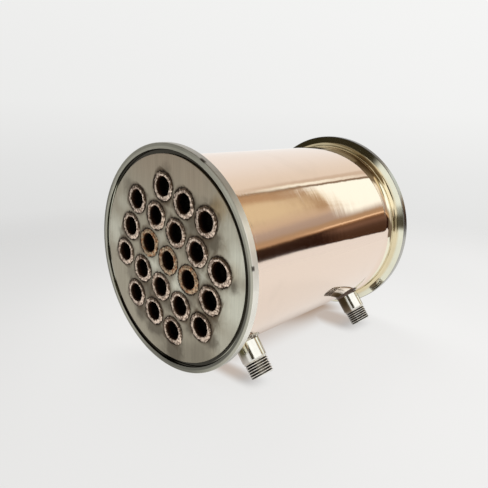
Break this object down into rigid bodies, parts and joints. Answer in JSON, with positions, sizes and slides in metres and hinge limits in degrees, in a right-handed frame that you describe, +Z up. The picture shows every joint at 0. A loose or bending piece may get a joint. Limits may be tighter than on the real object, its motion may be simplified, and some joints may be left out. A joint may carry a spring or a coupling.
{
  "type": "shell-and-tube condenser",
  "caption": "Copper shell-and-tube condenser for a still column, with stainless clamp flanges, a bundle of straight tubes and threaded side ports for cooling water.",
  "frame": {"origin": "on the surface the condenser lies on, below the middle of the shell's axis", "axes": "+Y along the shell's axis, the face seen in the picture at -Y; +Z up; the ports towards +X and down"},
  "size_m": [0.119, 0.147, 0.119],
  "materials": {
    "copper_shell": "mirror-polished copper with fine polishing lines",
    "flange_steel": "satin-turned stainless steel, polished on the back",
    "sheet_steel": "brushed stainless steel with heat marks round the tubes",
    "tube_copper": "darkened copper tube",
    "tube_braze": "rough silvery pink braze with a dark rim",
    "silver_braze": "wiped silver braze",
    "port_steel": "bright polished stainless steel",
    "baffle_copper": "plain copper sheet"
  },
  "bodies": {
    "root": {"shell": "copper_shell", "front_ferrule": "flange_steel", "rear_ferrule": "flange_steel", "front_tube_sheet": "sheet_steel", "rear_tube_sheet": "sheet_steel", "front_shell_braze": "silver_braze", "rear_shell_braze": "silver_braze", "front_tube_welds": "tube_braze", "rear_tube_welds": "tube_braze", "front_port": "port_steel", "rear_port": "port_steel", "front_port_braze": "silver_braze", "rear_port_braze": "silver_braze", "tube_01": "tube_copper", "tube_02": "tube_copper", "tube_03": "tube_copper", "tube_04": "tube_copper", "tube_05": "tube_copper", "tube_06": "tube_copper", "tube_07": "tube_copper", "tube_08": "tube_copper", "tube_09": "tube_copper", "tube_10": "tube_copper", "tube_11": "tube_copper", "tube_12": "tube_copper", "tube_13": "tube_copper", "tube_14": "tube_copper", "tube_15": "tube_copper", "tube_16": "tube_copper", "tube_17": "tube_copper", "tube_18": "tube_copper", "tube_19": "tube_copper", "tube_20": "tube_copper", "tube_21": "tube_copper", "baffle_1": "baffle_copper", "baffle_2": "baffle_copper", "baffle_3": "baffle_copper"}
  },
  "joints": []
}
